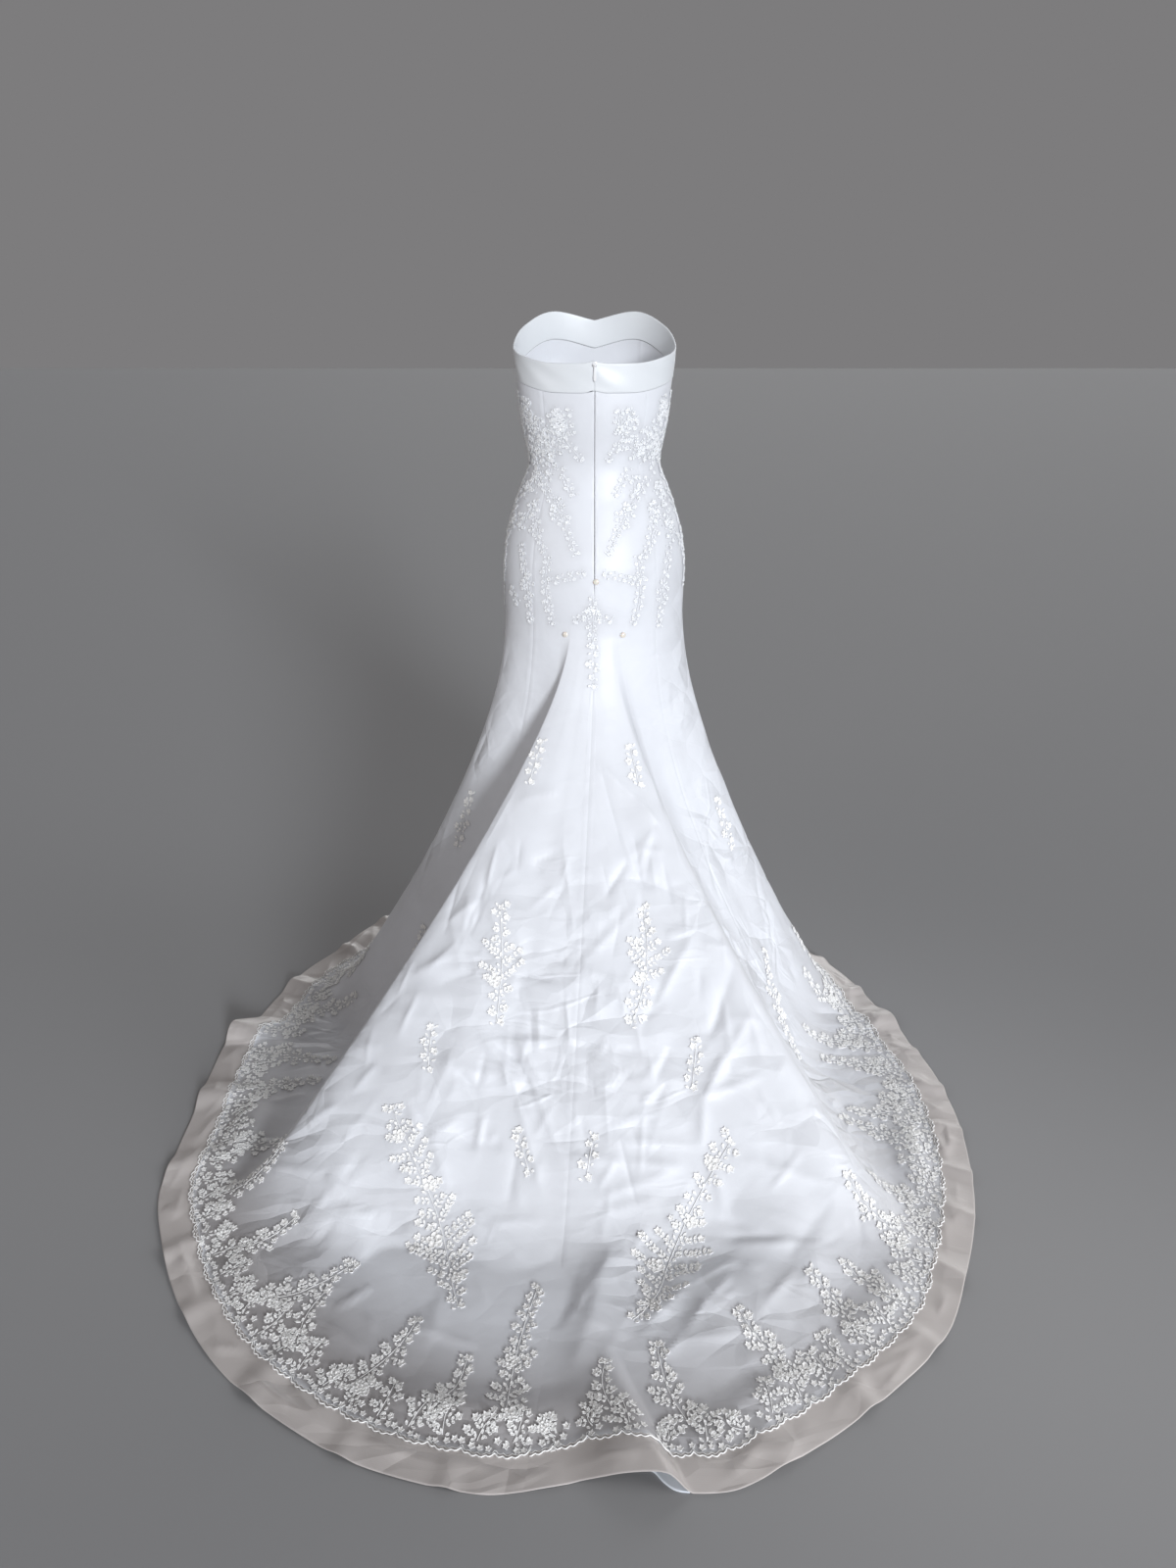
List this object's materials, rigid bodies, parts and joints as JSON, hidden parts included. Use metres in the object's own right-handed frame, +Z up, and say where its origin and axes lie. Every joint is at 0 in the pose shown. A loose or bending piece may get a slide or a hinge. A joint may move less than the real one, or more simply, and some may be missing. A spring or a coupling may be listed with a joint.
{
  "type": "wedding dress",
  "caption": "Strapless trumpet gown in the hollow form it is worn in: folded satin band, fitted body, flared skirt, chapel train with scalloped lace border, zip at the back.",
  "frame": {"origin": "centre of the waist, where the wearer holds the gown up", "axes": "+Z up, -Y the way the wearer faces, +Y towards the train, +X the wearer's left"},
  "size_m": [1.4275, 1.7047, 1.3768],
  "materials": {
    "satin": "ivory-white satin under fine crinkled organza, soft sheen",
    "band_satin": "smooth ivory-white satin, folded, soft sheen",
    "corded_lace": "matt net lace outlined with shiny cord and small beads",
    "lining": "pale blue-white polyester lining",
    "zip_tape": "matt woven tape with a nylon coil",
    "zip_enamel": "white enamel on die-cast metal",
    "pearl": "glossy imitation pearl"
  },
  "bodies": {
    "gown": {"band_back_left": "band_satin", "band_back_right": "band_satin", "band_front": "band_satin", "bustle_button_center": "pearl", "bustle_button_left": "pearl", "bustle_button_right": "pearl", "lace_border_back_left": "corded_lace", "lace_border_back_right": "corded_lace", "lace_border_front_center": "corded_lace", "lace_border_front_side_left": "corded_lace", "lace_border_front_side_right": "corded_lace", "lace_border_side_back_left": "corded_lace", "lace_border_side_back_right": "corded_lace", "lining_hem": "lining", "panel_back_left": "satin", "panel_back_right": "satin", "panel_front_center": "satin", "panel_front_side_left": "satin", "panel_front_side_right": "satin", "panel_side_back_left": "satin", "panel_side_back_right": "satin", "spray_bodice_left": "corded_lace", "spray_bodice_right": "corded_lace", "spray_center_back": "corded_lace", "spray_fold_left": "corded_lace", "spray_fold_right": "corded_lace", "spray_front_hip_left": "corded_lace", "spray_front_hip_right": "corded_lace", "spray_front_left": "corded_lace", "spray_front_right": "corded_lace", "spray_gore_left": "corded_lace", "spray_gore_right": "corded_lace", "spray_hip_left": "corded_lace", "spray_hip_right": "corded_lace", "spray_low_left": "corded_lace", "spray_low_right": "corded_lace", "spray_middle_left": "corded_lace", "spray_middle_right": "corded_lace", "spray_side_left": "corded_lace", "spray_side_right": "corded_lace", "spray_small_left": "corded_lace", "spray_small_right": "corded_lace", "spray_train_left": "corded_lace", "spray_train_right": "corded_lace", "spray_upper_left": "corded_lace", "spray_upper_right": "corded_lace", "spray_vine_left": "corded_lace", "spray_vine_right": "corded_lace", "zip_coil": "zip_tape", "zip_slider": "zip_enamel"},
    "zip_pull": {"zip_pull_tab": "zip_enamel"}
  },
  "joints": [
    {"name": "zip_pull_hinge", "type": "hinge", "parent": "gown", "child": "zip_pull", "pos_m": [0, 0.09746, 0.1755], "axis": [1, 0, 0], "range_deg": [0, 165]}
  ]
}
